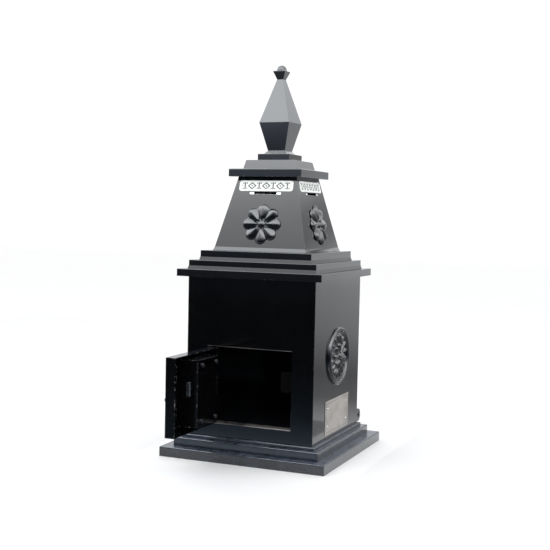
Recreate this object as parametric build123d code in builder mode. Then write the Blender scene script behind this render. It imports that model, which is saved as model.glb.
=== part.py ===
"""Steel donation box: stepped plinth, cabinet with a hinged cash door, stepped
cornice, sloping roof with a slot on each side, stacked cap and tall finial.

Millimetres, +Z up. The origin is the centre of the underside. The front faces -Y.
The door is modelled open at a right angle, which is its rest position.
"""
from build123d import *
import os
from math import atan2, cos, degrees, pi, radians, sin

os.makedirs("parts", exist_ok=True)

# ---------------------------------------------------------------- driving sizes
sheet = 2.0                      # folded sheet steel

slab_width = 516.0
slab_top = 29.0
middle_tier_width = 454.0
middle_tier_top = 54.0
top_tier_width = 420.0
top_tier_top = 63.0
base_plate_thickness = 3.0

cabinet_width = 400.0
cabinet_top = 531.0
corner_radius = 1.8              # rounding of the cabinet's folded upright corners
fold_radius = 2.8                # rounding of the folded rims of the plinth and cap
rim_radius = 1.2                 # rounding of the cornice tiers' upper edges
kick_height = 9.5                # the foot of a cornice tier's skirt leans outwards
kick_reach = 2.5
roof_kick_height = 11.0          # the foot of the roof leans out a little more than the roof
roof_kick_reach = 1.6
lip_radius = 2.4                 # rounding where the opening's flanges fold inwards

opening_left = -132.5            # clear door opening in the front panel
opening_right = 132.0
opening_bottom = 104.0
opening_top = 328.0
return_depth = 31.0              # flange folded inwards around the opening

floor_thickness = 3.0
cleat_leg = 20.0

cornice_widths = {"lower": 452.0, "middle": 400.0, "upper": 350.0}
cornice_tops = {"lower": 552.5, "middle": 578.5, "upper": 607.0}
throat_width = 270.0             # hole through the cornice for falling money

roof_base_half = 146.3
roof_top_half = 93.0
roof_top = 826.5

slot_length = 72.0
slot_height = 7.0
slot_level = 778.8
slot_cut = 20.0                  # depth of the cut that opens the slot through the sheet
trim_length = 100.0
trim_height = 8.2
trim_corner = 2.5
trim_thickness = 1.2
label_width = 172.0
label_height = 32.0
label_corner = 8.0
label_thickness = 1.5
label_level = 799.6

rosette_radius = 60.0
rosette_relief = 11.0
rosette_level = 688.0
medallion_radius = 88.0
medallion_relief = 12.0
medallion_rim = 9.0
medallion_level = 299.0
petal_count = 8

cap_slab_half = 116.0
cap_slab_top = 850.0
cap_slope_half = 84.0
cap_slope_top_half = 77.0
cap_slope_top = 877.5
cap_block_half = 51.3
cap_block_top = 897.3

finial_turn = -1.6               # degrees the finial stands twisted on the cap
foot_half = 37.0
foot_top = 907.7
finial_neck_low_half = 28.0
finial_waist_half = 48.7
finial_waist = 990.8
finial_neck_half = 10.3
finial_neck = 1122.0
collar_half = 19.9
collar_top = 1147.5
ball_radius = 16.0
ball_centre = 1149.0
stud_radius = 6.0
stud_clearance = 0.3
stud_bottom = 832.0
stud_top = 1135.0

notice_width = 204.0
notice_height = 100.0
notice_bottom = 75.0
notice_shift = 2.0
notice_thickness = 1.5

lug_thickness = 6.0
lug_radius = 20.0
lug_reach = 16.0                 # from the back wall to the centre of the lug's hole
lug_level = 84.0
lug_hole_radius = 7.0

# hinge axis, and the door measured from it
hinge_x = -131.5
hinge_y = -204.2
skin_offset = 4.2                # from the hinge axis to the door's outer face
door_near = 1.0                  # edge of the door beside the hinge
door_far = 260.0                 # free edge of the door
door_depth = 30.0
door_bottom = 106.0
door_top = 326.0
knuckle_radius = 3.9
pin_radius = 2.0
pin_clearance = 0.06
hinge_levels = (125.0, 257.0)    # lower end of each hinge
hinge_height = 50.0
knuckle_gap = 0.3
leaf_start = 1.5
leaf_end = 28.0
leaf_thickness = 2.0
rivet_radius = 1.5
rivet_head_radius = 3.0
rivet_head_height = 1.5

# lock, in door coordinates: along the door, inwards from the hinge axis, up
case_near = 78.0
case_far = 201.0
case_inner = 71.2                # face of the case that looks into the cabinet
case_bottom = 128.0
case_top = 315.0
screw_places = ((86.0, 143.0), (172.0, 143.0), (86.0, 299.0), (172.0, 299.0))
screw_radius = 3.0
screw_head_radius = 5.5
screw_head_height = 3.5

bolt_tail = 95.0
bolt_tip = 204.0
bolt_outer = 38.2
bolt_inner = 50.2
bolt_bottom = 214.9
bolt_top = 253.0
bolt_throw = 28.27
slot_margin = 1.3
guide_spans = ((118.0, 134.0), (170.0, 184.0))

plug_along = 150.0
pinion_radius = 6.0              # circle through the pinion's pins
pinion_pins = 8
pinion_pin_radius = 0.9
plug_level = 210.1
plug_radius = 7.0
plug_clearance = 0.05
barrel_wall = 2.0
hole_allowance = 0.3
rack_pitch = 2 * pi * pinion_radius / pinion_pins
rack_gap = 2.8
rack_depth = 2.5

knob_along = 238.0
knob_level = 207.0
knob_reach = 10.5
knob_shank = 2.5

strike_left = 88.0
strike_bottom = 205.0
strike_top = 265.0
strike_thickness = 2.5

# ------------------------------------------------------------- derived values
skin_inside = skin_offset + sheet
door_inner_edge = skin_offset + door_depth
return_edge = -cabinet_width / 2 + return_depth
roof_height = roof_top - cornice_tops["upper"]
roof_tilt = degrees(atan2(roof_base_half - roof_top_half, roof_height))
side_angles = {"front": 0, "right": 90, "back": 180, "left": 270}
door_plane = Plane(origin=(hinge_x, hinge_y, 0), x_dir=(0, -1, 0), z_dir=(0, 0, 1))
frame_plane = Plane(origin=(hinge_x, hinge_y, 0), x_dir=(1, 0, 0), z_dir=(0, 0, 1))


# -------------------------------------------------------------------- helpers
def save(name, shape):
    """Label one finished piece and write it to its own STEP file."""
    shape.label = name
    export_step(shape, f"parts/{name}.step")


def block(x0, x1, y0, y1, z0, z1, mode=Mode.ADD):
    """A box between two corners, in the plane of the part being built."""
    with Locations(((x0 + x1) / 2, (y0 + y1) / 2, (z0 + z1) / 2)):
        Box(x1 - x0, y1 - y0, z1 - z0, mode=mode)


def square_block(half, z0, z1, mode=Mode.ADD):
    """A square block centred on the upright axis."""
    block(-half, half, -half, half, z0, z1, mode)


def rod(x, y, z0, z1, radius, mode=Mode.ADD):
    """An upright cylinder between two levels."""
    with Locations((x, y, (z0 + z1) / 2)):
        Cylinder(radius, z1 - z0, mode=mode)


def cross_rod(along, z, inward0, inward1, radius, mode=Mode.ADD):
    """A cylinder square to the door, in door coordinates."""
    with Locations(Location((along, (inward0 + inward1) / 2, z), (90, 0, 0))):
        Cylinder(radius, inward1 - inward0, mode=mode)


def frustum(half0, z0, half1, z1, turn=0.0, mode=Mode.ADD):
    """A square tapered block between two levels."""
    base = Plane.XY.rotated((0, 0, turn))
    with BuildSketch(base.offset(z0)) as lower:
        Rectangle(2 * half0, 2 * half0)
    with BuildSketch(base.offset(z1)) as upper:
        Rectangle(2 * half1, 2 * half1)
    loft(sections=[lower.sketch, upper.sketch], mode=mode)


def roof_half_at(z):
    """Half the roof's outside width at a level."""
    return roof_base_half - (z - cornice_tops["upper"]) * (roof_base_half - roof_top_half) / roof_height


def roof_plane(angle, z):
    """A plane lying on one roof slope, its Z axis pointing out of the roof."""
    turn = radians(angle)
    reach = roof_half_at(z)
    origin = (reach * sin(turn), -reach * cos(turn), z)
    level = cos(radians(roof_tilt))
    rise = sin(radians(roof_tilt))
    outward = (level * sin(turn), -level * cos(turn), rise)
    return Plane(origin=origin, x_dir=(cos(turn), sin(turn), 0), z_dir=outward)


def outer_edges(part, half):
    """The upright edges at the four outer corners of a square piece."""
    return [
        edge
        for edge in part.edges().filter_by(Axis.Z)
        if abs(abs(edge.center().X) - half) < 0.01 and abs(abs(edge.center().Y) - half) < 0.01
    ]


# --------------------------------------------------------------------- plinth
def build_tray(name, width, z0, z1):
    """A folded tray: a top sheet with a skirt all round, open below."""
    with BuildPart() as tray:
        square_block(width / 2, z0, z1)
        fillet(outer_edges(tray, width / 2), corner_radius)
        fillet(tray.faces().sort_by(Axis.Z)[-1].edges(), fold_radius)
        square_block(width / 2 - sheet, z0, z1 - sheet, mode=Mode.SUBTRACT)
    save(name, tray.part)


def build_base_plate():
    """The flat sheet let into the slab's skirt, level with its lower edge."""
    inset = sheet + 0.2
    with BuildPart() as base_plate:
        square_block(slab_width / 2 - inset, 0, base_plate_thickness)
    save("base_plate", base_plate.part)


# -------------------------------------------------------------------- cabinet
def build_front_panel():
    """The front sheet, with the door opening and the flanges folded in from it."""
    half = cabinet_width / 2
    with BuildPart() as front_panel:
        block(-half, half, -half, -half + sheet, top_tier_top, cabinet_top)
        fillet(
            [
                edge
                for edge in front_panel.edges().filter_by(Axis.Z)
                if edge.center().Y < -half + 0.1
            ],
            corner_radius,
        )
        block(
            opening_left - sheet, opening_right + sheet, -half + sheet, return_edge,
            opening_bottom - sheet, opening_top + sheet,
        )
        block(
            opening_left, opening_right, -half - 1, return_edge + 1,
            opening_bottom, opening_top, mode=Mode.SUBTRACT,
        )
        lip = [
            edge
            for edge in front_panel.edges()
            if abs(edge.center().Y + half) < 0.01
            and opening_left - 0.1 < edge.center().X < opening_right + 0.1
            and opening_bottom - 0.1 < edge.center().Z < opening_top + 0.1
        ]
        fillet(lip, lip_radius)
    save("front_panel", front_panel.part)


def build_side_panels():
    """The left and right sheets, between the front and back ones."""
    half = cabinet_width / 2
    for name, side in (("left_panel", -1), ("right_panel", 1)):
        inner = side * (half - sheet)
        outer = side * half
        with BuildPart() as panel:
            block(
                min(inner, outer), max(inner, outer), -half + sheet, half - sheet,
                top_tier_top, cabinet_top,
            )
        save(name, panel.part)


def build_back_panel():
    """The back sheet, with rounded upright corners."""
    half = cabinet_width / 2
    with BuildPart() as back_panel:
        block(-half, half, half - sheet, half, top_tier_top, cabinet_top)
        fillet(
            [
                edge
                for edge in back_panel.edges().filter_by(Axis.Z)
                if edge.center().Y > half - 0.1
            ],
            corner_radius,
        )
    save("back_panel", back_panel.part)


def build_floor():
    """The sheet that the money lands on, and the four angles that carry it."""
    inside = cabinet_width / 2 - sheet
    edge_gap = 0.5
    with BuildPart() as floor:
        block(
            -inside + edge_gap, inside - edge_gap, return_edge + edge_gap, inside - edge_gap,
            opening_bottom - floor_thickness, opening_bottom,
        )
    save("cabinet_floor", floor.part)

    under = opening_bottom - floor_thickness
    thick = 3.0
    half_length = 145.0
    front_shelf = 48.0           # the front angle reaches in past the opening's flange
    with BuildPart() as cleats:
        for side in (-1, 1):
            wall = side * inside
            block(min(wall, wall - side * thick), max(wall, wall - side * thick),
                  -half_length, half_length, under - cleat_leg, under)
            block(min(wall, wall - side * cleat_leg), max(wall, wall - side * cleat_leg),
                  -half_length, half_length, under - thick, under)
        block(-half_length, half_length, inside - thick, inside, under - cleat_leg, under)
        block(-half_length, half_length, inside - cleat_leg, inside, under - thick, under)
        block(-half_length, half_length, -inside, thick - inside, under - cleat_leg, under)
        block(-half_length, half_length, -inside, front_shelf - inside, under - thick, under)
    save("floor_cleats", cleats.part)


# -------------------------------------------------------------------- cornice
def build_cornice_tier(name, width, z0, z1, closed_below, kicked):
    """A folded square ring: top sheet and skirt, open in the middle."""
    half = width / 2
    hollow_bottom = z0 + sheet if closed_below else z0
    with BuildPart() as tier:
        square_block(half, z0, z1)
        fillet(outer_edges(tier, half), corner_radius)
        fillet(tier.faces().sort_by(Axis.Z)[-1].edges(), rim_radius)
        if kicked:
            frustum(half + kick_reach, z0, half, z0 + kick_height)
        square_block(half - sheet, hollow_bottom, z1 - sheet, mode=Mode.SUBTRACT)
        square_block(throat_width / 2, z0, z1, mode=Mode.SUBTRACT)
    save(name, tier.part)


# ----------------------------------------------------------------------- roof
def build_roof_panel(side, angle):
    """One sloping roof sheet, mitred at the hips, with its money slot."""
    turned = Plane.XY.rotated((0, 0, angle))
    inset = sheet / cos(radians(roof_tilt))
    base = cornice_tops["upper"]
    with BuildPart() as panel:
        frustum(roof_base_half, base, roof_top_half, roof_top, turn=angle)
        frustum(roof_base_half + roof_kick_reach, base, roof_half_at(base + roof_kick_height),
                base + roof_kick_height, turn=angle)
        frustum(roof_base_half - inset, base, roof_top_half - inset, roof_top, turn=angle,
                mode=Mode.SUBTRACT)
        for hip in (45, 135):
            normal = turned.x_dir.rotate(Axis.Z, -hip)
            split(bisect_by=Plane(origin=(0, 0, 0), z_dir=normal), keep=Keep.TOP)
        with BuildSketch(turned.offset(slot_level - slot_height / 2)):
            with Locations((0, -roof_half_at(slot_level))):
                Rectangle(slot_length, slot_cut)
        extrude(amount=slot_height, mode=Mode.SUBTRACT)
    save(f"roof_panel_{side}", panel.part)


def build_label_plate(side, angle):
    """The pale plate with rounded ends below the cap."""
    with BuildPart() as label:
        with BuildSketch(roof_plane(angle, label_level)):
            RectangleRounded(label_width, label_height, label_corner)
        extrude(amount=label_thickness)
    save(f"label_plate_{side}", label.part)


def build_slot_trim(side, angle):
    """The bright strip around a money slot."""
    turned = Plane.XY.rotated((0, 0, angle))
    with BuildPart() as trim:
        with BuildSketch(roof_plane(angle, slot_level)):
            RectangleRounded(trim_length, trim_height, trim_corner)
        extrude(amount=trim_thickness)
        with BuildSketch(turned.offset(slot_level - slot_height / 2)):
            with Locations((0, -roof_half_at(slot_level))):
                Rectangle(slot_length, slot_cut)
        extrude(amount=slot_height, mode=Mode.SUBTRACT)
    save(f"slot_trim_{side}", trim.part)


# ------------------------------------------------------------------ ornaments
def petal_ring(plane, ring_radius, long_half, short_half, height):
    """Raised oval petals around a centre, each narrower at its top."""
    crown = 0.6
    for index in range(petal_count):
        turn = 2 * pi * index / petal_count
        place = Location(
            (ring_radius * cos(turn), ring_radius * sin(turn), 0), (0, 0, degrees(turn))
        )
        with BuildSketch(plane) as low:
            with Locations(place):
                Ellipse(long_half, short_half)
        with BuildSketch(plane.offset(height)) as high:
            with Locations(place):
                Ellipse(crown * long_half, crown * short_half)
        loft(sections=[low.sketch, high.sketch])


def build_rosette(side, angle):
    """A cast flower with eight petals, fixed to a roof slope."""
    plane = roof_plane(angle, rosette_level)
    petal_half_length = 24.0
    petal_half_width = 15.5
    petal_height = 9.5
    hub_radius = 17.0
    hub_height = 7.0
    seed_radius = 9.5
    with BuildPart() as rosette:
        petal_ring(plane, rosette_radius - petal_half_length, petal_half_length,
                   petal_half_width, petal_height)
        with BuildSketch(plane) as hub:
            Circle(hub_radius)
        extrude(hub.sketch, amount=hub_height)
        with BuildSketch(plane.offset(hub_height)) as seed:
            Circle(seed_radius)
        extrude(seed.sketch, amount=rosette_relief - hub_height, taper=25)
    save(f"rosette_{side}", rosette.part)


def build_medallion(side, direction):
    """A round cast plaque on a cabinet side: raised rim, petals and a centre dome."""
    plane = Plane(
        origin=(direction * cabinet_width / 2, 0, medallion_level),
        x_dir=(0, direction, 0),
        z_dir=(direction, 0, 0),
    )
    rim_inner = 70.0
    backing = 4.0
    petal_centre = 42.0
    petal_half_length = 24.0
    petal_half_width = 16.5
    petal_height = 10.0
    hub_radius = 20.0
    with BuildPart() as medallion:
        with BuildSketch(plane) as disc:
            Circle(medallion_radius - 1)
        extrude(disc.sketch, amount=backing)
        with BuildSketch(plane) as rim:
            Circle(medallion_radius)
            Circle(rim_inner, mode=Mode.SUBTRACT)
        extrude(rim.sketch, amount=medallion_rim)
        petal_ring(plane, petal_centre, petal_half_length, petal_half_width, petal_height)
        with BuildSketch(plane) as hub:
            Circle(hub_radius)
        extrude(hub.sketch, amount=medallion_relief, taper=20)
    save(f"medallion_{side}", medallion.part)


def build_notice_plate():
    """The blank information plate on the right side, and its four rivets."""
    face = cabinet_width / 2
    head_taper = 25
    near = notice_shift - notice_width / 2
    far = notice_shift + notice_width / 2
    top = notice_bottom + notice_height
    inset_along = 21.0
    inset_up = 23.0
    places = [
        (y, z)
        for y in (near + inset_along, far - inset_along)
        for z in (notice_bottom + inset_up, top - inset_up)
    ]
    outward = Plane(origin=(face, 0, 0), x_dir=(0, 1, 0), z_dir=(1, 0, 0))
    with BuildPart() as plate:
        block(face, face + notice_thickness, near, far, notice_bottom, top)
        with BuildSketch(outward) as holes:
            with Locations(*places):
                Circle(rivet_radius + 0.1)
        extrude(holes.sketch, amount=notice_thickness, mode=Mode.SUBTRACT)
    save("notice_plate", plate.part)

    with BuildPart() as rivets:
        with BuildSketch(outward) as shanks:
            with Locations(*places):
                Circle(rivet_radius)
        extrude(shanks.sketch, amount=notice_thickness)
        with BuildSketch(outward.offset(notice_thickness)) as heads:
            with Locations(*places):
                Circle(rivet_head_radius)
        extrude(heads.sketch, amount=rivet_head_height, taper=head_taper)
    save("notice_rivets", rivets.part)


def build_rear_lug():
    """The half-round steel ear on the back wall that takes a chain or padlock."""
    back = cabinet_width / 2
    inset = 1.0                  # from the cabinet's right face to the ear
    ear_left = cabinet_width / 2 - inset - lug_thickness
    ear_plane = Plane(origin=(ear_left, 0, 0), x_dir=(0, 1, 0), z_dir=(1, 0, 0))
    centre = back + lug_reach
    with BuildPart() as lug:
        with BuildSketch(ear_plane) as outline:
            with Locations((back + lug_reach / 2, lug_level)):
                Rectangle(lug_reach, 2 * lug_radius)
            with Locations((centre, lug_level)):
                Circle(lug_radius)
            with Locations((back - lug_radius, lug_level)):
                Rectangle(2 * lug_radius, 3 * lug_radius, mode=Mode.SUBTRACT)
            with Locations((centre, lug_level)):
                Circle(lug_hole_radius, mode=Mode.SUBTRACT)
        extrude(outline.sketch, amount=lug_thickness)
    save("rear_anchor_lug", lug.part)


# ------------------------------------------------------------- cap and finial
def build_cap():
    """Three stacked folded pieces on top of the roof, drilled for the stud."""
    hole = stud_radius + stud_clearance
    roof_seat = 4.0              # width of the cap slab's rim that rests on the roof sheets
    block_radius = 1.5
    with BuildPart() as cap_slab:
        square_block(cap_slab_half, roof_top, cap_slab_top)
        fillet(outer_edges(cap_slab, cap_slab_half), corner_radius)
        fillet(cap_slab.faces().sort_by(Axis.Z)[-1].edges(), fold_radius)
        square_block(cap_slab_half - sheet, roof_top + sheet, cap_slab_top - sheet,
                     mode=Mode.SUBTRACT)
        square_block(roof_top_half - roof_seat, roof_top, roof_top + sheet, mode=Mode.SUBTRACT)
        rod(0, 0, cap_slab_top - sheet, cap_slab_top, hole, mode=Mode.SUBTRACT)
    save("cap_slab", cap_slab.part)

    with BuildPart() as cap_slope:
        frustum(cap_slope_half, cap_slab_top, cap_slope_top_half, cap_slope_top)
        frustum(cap_slope_half - sheet, cap_slab_top, cap_slope_top_half - sheet,
                cap_slope_top - sheet, mode=Mode.SUBTRACT)
        rod(0, 0, cap_slope_top - sheet, cap_slope_top, hole, mode=Mode.SUBTRACT)
    save("cap_slope", cap_slope.part)

    with BuildPart() as cap_block:
        square_block(cap_block_half, cap_slope_top, cap_block_top)
        fillet(outer_edges(cap_block, cap_block_half), block_radius)
        fillet(cap_block.faces().sort_by(Axis.Z)[-1].edges(), block_radius)
        square_block(cap_block_half - sheet, cap_slope_top, cap_block_top - sheet,
                     mode=Mode.SUBTRACT)
        rod(0, 0, cap_block_top - sheet, cap_block_top, hole, mode=Mode.SUBTRACT)
    save("cap_block", cap_block.part)


def build_finial():
    """Two square pyramids base to base, a flared collar and a ball."""
    hole = stud_radius + stud_clearance
    foot_floor = foot_top + sheet
    with BuildPart() as finial_lower:
        frustum(foot_half, cap_block_top, finial_neck_low_half, foot_top, finial_turn)
        frustum(finial_neck_low_half, foot_top, finial_waist_half, finial_waist, finial_turn)
        frustum(finial_neck_low_half - sheet, foot_floor, finial_waist_half - sheet,
                finial_waist, finial_turn, mode=Mode.SUBTRACT)
        rod(0, 0, cap_block_top, foot_floor, hole, mode=Mode.SUBTRACT)
    save("finial_lower", finial_lower.part)

    solid_tip = 12.0
    tip_half = finial_neck_half + 2.0
    with BuildPart() as finial_upper:
        frustum(finial_waist_half, finial_waist, finial_neck_half, finial_neck, finial_turn)
        frustum(finial_waist_half - sheet, finial_waist, tip_half - sheet,
                finial_neck - solid_tip, finial_turn, mode=Mode.SUBTRACT)
        rod(0, 0, finial_neck - solid_tip, finial_neck, hole, mode=Mode.SUBTRACT)
    save("finial_upper", finial_upper.part)

    thread_gap = 0.05
    collar_bevel = 2.0
    collar_edge = collar_top - collar_bevel
    with BuildPart() as finial_collar:
        frustum(finial_neck_half, finial_neck, collar_half, collar_edge, finial_turn)
        frustum(collar_half, collar_edge, collar_half - collar_bevel / 2, collar_top, finial_turn)
        rod(0, 0, finial_neck, stud_top + 1, stud_radius + thread_gap, mode=Mode.SUBTRACT)
    save("finial_collar", finial_collar.part)

    with BuildPart() as finial_ball:
        with Locations((0, 0, ball_centre)):
            Sphere(ball_radius)
        split(bisect_by=Plane.XY.offset(collar_top), keep=Keep.TOP)
    save("finial_ball", finial_ball.part)

    with BuildPart() as finial_stud:
        rod(0, 0, stud_bottom, stud_top, stud_radius)
        chamfer(finial_stud.edges(), 1.0)
    save("finial_stud", finial_stud.part)

    nut_height = 10.0
    nut_half_width = 9.5
    washer = 2.5
    washer_radius = 12.0
    under_cap = cap_slab_top - sheet
    with BuildPart() as finial_nut:
        with BuildSketch(Plane.XY.offset(under_cap - washer - nut_height)) as hexagon:
            RegularPolygon(nut_half_width, 6, major_radius=False)
        extrude(hexagon.sketch, amount=nut_height)
        rod(0, 0, under_cap - washer, under_cap, washer_radius)
        rod(0, 0, under_cap - washer - nut_height, under_cap, stud_radius + thread_gap,
            mode=Mode.SUBTRACT)
    save("finial_nut", finial_nut.part)


# -------------------------------------------------------------------- hinges
def hinge_levels_of(part_of_hinge, bottom):
    """Lower and upper level of each knuckle that belongs to one leaf."""
    third = hinge_height / 3
    if part_of_hinge == "frame":
        return [
            (bottom, bottom + third - knuckle_gap / 2),
            (bottom + 2 * third + knuckle_gap / 2, bottom + hinge_height),
        ]
    return [(bottom + third + knuckle_gap / 2, bottom + 2 * third - knuckle_gap / 2)]


def hinge_leaves(part_of_hinge, plane, direction):
    """Both leaves of one kind: a strip on the sheet, joined to its own knuckles."""
    leaf_outer = skin_offset - leaf_thickness
    clear_of_knuckle = knuckle_radius + 0.7
    rivet_x = direction * (leaf_end + clear_of_knuckle) / 2
    with BuildPart(plane) as leaves:
        for bottom in hinge_levels:
            x0 = min(direction * clear_of_knuckle, direction * leaf_end)
            x1 = max(direction * clear_of_knuckle, direction * leaf_end)
            block(x0, x1, leaf_outer, skin_offset, bottom, bottom + hinge_height)
            for z0, z1 in hinge_levels_of(part_of_hinge, bottom):
                x0 = min(direction * leaf_start, direction * leaf_end)
                x1 = max(direction * leaf_start, direction * leaf_end)
                block(x0, x1, leaf_outer, skin_offset, z0, z1)
                rod(0, 0, z0, z1, knuckle_radius)
                rod(0, 0, z0, z1, pin_radius + pin_clearance, mode=Mode.SUBTRACT)
            for z in rivet_levels(bottom):
                cross_rod(rivet_x, z, leaf_outer, skin_offset, rivet_radius + 0.1,
                          mode=Mode.SUBTRACT)
    return leaves.part


def rivet_levels(bottom):
    """Levels of the two rivets in one hinge leaf."""
    return (bottom + hinge_height * 0.2, bottom + hinge_height * 0.8)


def hinge_rivets(plane, direction):
    """The rivets of both leaves of one kind."""
    leaf_outer = skin_offset - leaf_thickness
    rivet_x = direction * (leaf_end + knuckle_radius + 0.7) / 2
    with BuildPart(plane) as rivets:
        for bottom in hinge_levels:
            for z in rivet_levels(bottom):
                cross_rod(rivet_x, z, leaf_outer, skin_offset, rivet_radius)
                cross_rod(rivet_x, z, leaf_outer - rivet_head_height, leaf_outer,
                          rivet_head_radius)
    return rivets.part


def build_hinges():
    """Two butt hinges on the outside of the left edge of the opening."""
    save("hinge_frame_leaves", hinge_leaves("frame", frame_plane, -1))
    save("hinge_door_leaves", hinge_leaves("door", door_plane, 1))
    save("hinge_frame_rivets", hinge_rivets(frame_plane, -1))
    save("hinge_door_rivets", hinge_rivets(door_plane, 1))

    head_height = 2.0
    head_radius = 3.2
    tail = 0.5
    with BuildPart(frame_plane) as pins:
        for bottom in hinge_levels:
            top = bottom + hinge_height
            rod(0, 0, bottom - tail, top, pin_radius)
            rod(0, 0, top, top + head_height, head_radius)
    save("hinge_pins", pins.part)


# ---------------------------------------------------------------------- door
def build_door_pan():
    """The door: an outer skin with its four edges folded inwards."""
    pan_radius = 1.2
    with BuildPart(door_plane) as door_pan:
        block(door_near, door_far, skin_offset, door_inner_edge, door_bottom, door_top)
        skin_face = door_pan.faces().sort_by(Axis.X)[0]
        fillet(skin_face.edges(), pan_radius)
        block(
            door_near + sheet, door_far - sheet, skin_inside, door_inner_edge,
            door_bottom + sheet, door_top - sheet, mode=Mode.SUBTRACT,
        )
        cross_rod(plug_along, plug_level, skin_offset, skin_inside,
                  plug_radius + barrel_wall + hole_allowance, mode=Mode.SUBTRACT)
        cross_rod(knob_along, knob_level, skin_offset, skin_inside,
                  knob_shank + hole_allowance, mode=Mode.SUBTRACT)
    save("door_pan", door_pan.part)


def build_lock_case():
    """The deep cover over the lock, with a slot that the bolt slides through."""
    cover_radius = 1.5
    with BuildPart(door_plane) as lock_case:
        block(case_near, case_far, skin_inside, case_inner, case_bottom, case_top)
        cover_face = lock_case.faces().sort_by(Axis.X)[-1]
        fillet(cover_face.edges(), cover_radius)
        block(
            case_near + sheet, case_far - sheet, skin_inside, case_inner - sheet,
            case_bottom + sheet, case_top - sheet, mode=Mode.SUBTRACT,
        )
        block(
            case_far - sheet, case_far,
            bolt_outer - slot_margin, bolt_inner + slot_margin,
            bolt_bottom - slot_margin, bolt_top + slot_margin, mode=Mode.SUBTRACT,
        )
        for along, z in screw_places:
            cross_rod(along, z, case_inner - sheet, case_inner, screw_radius + 0.2,
                      mode=Mode.SUBTRACT)
    save("lock_case", lock_case.part)

    slot_half_length = 4.0
    slot_half_width = 0.7
    slot_depth = 1.5
    with BuildPart(door_plane) as screws:
        for along, z in screw_places:
            cross_rod(along, z, skin_inside, case_inner, screw_radius)
            cross_rod(along, z, case_inner, case_inner + screw_head_height, screw_head_radius)
            block(along - slot_half_length, along + slot_half_length,
                  case_inner + screw_head_height - slot_depth, case_inner + screw_head_height,
                  z - slot_half_width, z + slot_half_width, mode=Mode.SUBTRACT)
    save("lock_case_screws", screws.part)


def build_bolt_guides():
    """Two steel bridges welded inside the door, which the bolt slides through."""
    fit = 0.3
    bridge = 5.0                 # thickness of a guide over the bolt
    foot = 6.0                   # thickness above and below the bolt
    with BuildPart(door_plane) as guides:
        for near, far in guide_spans:
            block(near, far, skin_inside, bolt_inner + bridge, bolt_bottom - foot,
                  bolt_top + foot)
            block(near, far, bolt_outer - fit, bolt_inner + fit, bolt_bottom - fit,
                  bolt_top + fit, mode=Mode.SUBTRACT)
    save("bolt_guides", guides.part)


def build_key_escutcheon():
    """The ring around the key plug and the barrel behind it."""
    flange_radius = 14.0
    flange_front = skin_offset - 2.5
    barrel_end = 30.0
    with BuildPart(door_plane) as escutcheon:
        cross_rod(plug_along, plug_level, flange_front, skin_offset, flange_radius)
        cross_rod(plug_along, plug_level, skin_offset, barrel_end, plug_radius + barrel_wall)
        cross_rod(plug_along, plug_level, flange_front, barrel_end,
                  plug_radius + plug_clearance, mode=Mode.SUBTRACT)
    save("key_escutcheon", escutcheon.part)


def build_lock_plug():
    """The plug that the key turns; pins on its inner disc drive the bolt's rack."""
    front = skin_offset - 1.5
    disc_outer = 35.0
    disc_inner = bolt_outer - 0.5
    disc_radius = pinion_radius + 1.4
    keyhole_half_width = 1.0
    keyhole_half_height = 4.0
    keyhole_depth = 12.0
    with BuildPart(door_plane) as plug:
        cross_rod(plug_along, plug_level, front, disc_outer, plug_radius)
        cross_rod(plug_along, plug_level, disc_outer, disc_inner, disc_radius)
        for index in range(pinion_pins):
            turn = 2 * pi * index / pinion_pins + pi / 2
            cross_rod(
                plug_along + pinion_radius * cos(turn), plug_level + pinion_radius * sin(turn),
                disc_inner, bolt_inner, pinion_pin_radius,
            )
        block(plug_along - keyhole_half_width, plug_along + keyhole_half_width,
              front, front + keyhole_depth, plug_level - keyhole_half_height,
              plug_level + keyhole_half_height, mode=Mode.SUBTRACT)
    save("lock_plug", plug.part)


def build_lock_bolt():
    """The dead bolt, with rack slots cut in its lower edge."""
    first_slot = -2
    last_slot = 8
    tip_chamfer = 1.0
    with BuildPart(door_plane) as bolt:
        block(bolt_tail, bolt_tip, bolt_outer, bolt_inner, bolt_bottom, bolt_top)
        tip_edges = bolt.faces().sort_by(Axis.Y)[0].edges()
        chamfer(tip_edges, tip_chamfer)
        for index in range(first_slot, last_slot + 1):
            centre = plug_along - index * rack_pitch
            block(centre - rack_gap / 2, centre + rack_gap / 2, bolt_outer, bolt_inner,
                  bolt_bottom, bolt_bottom + rack_depth, mode=Mode.SUBTRACT)
    save("lock_bolt", bolt.part)


def build_pull_knob():
    """The small turned knob near the door's free edge."""
    stem = 3.5
    base = 6.0
    base_thickness = 1.5
    head = 7.5
    head_thickness = 5.5
    rim_radius = 2.0
    nut = 5.0
    nut_thickness = 3.5
    outer = skin_offset - knob_reach
    with BuildPart(door_plane) as knob:
        cross_rod(knob_along, knob_level, outer + head_thickness / 2, skin_offset, stem)
        cross_rod(knob_along, knob_level, skin_offset - base_thickness, skin_offset, base)
        cross_rod(knob_along, knob_level, outer, outer + head_thickness, head)
        rims = [
            edge
            for edge in knob.edges().filter_by(GeomType.CIRCLE)
            if abs(edge.radius - head) < 0.01
        ]
        fillet(rims, rim_radius)
        cross_rod(knob_along, knob_level, skin_offset, skin_inside, knob_shank)
        cross_rod(knob_along, knob_level, skin_inside, skin_inside + nut_thickness, nut)
    save("pull_knob", knob.part)


def build_strike_plate():
    """The steel tongue behind the right edge of the opening that holds the bolt."""
    right = opening_right + sheet
    free_corner = 6.0
    with BuildPart() as strike:
        block(strike_left, right, return_edge, return_edge + strike_thickness,
              strike_bottom, strike_top)
        free_corners = [
            edge
            for edge in strike.edges().filter_by(Axis.Y)
            if edge.center().X < strike_left + 0.1
        ]
        fillet(free_corners, free_corner)
    save("strike_plate", strike.part)


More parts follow.
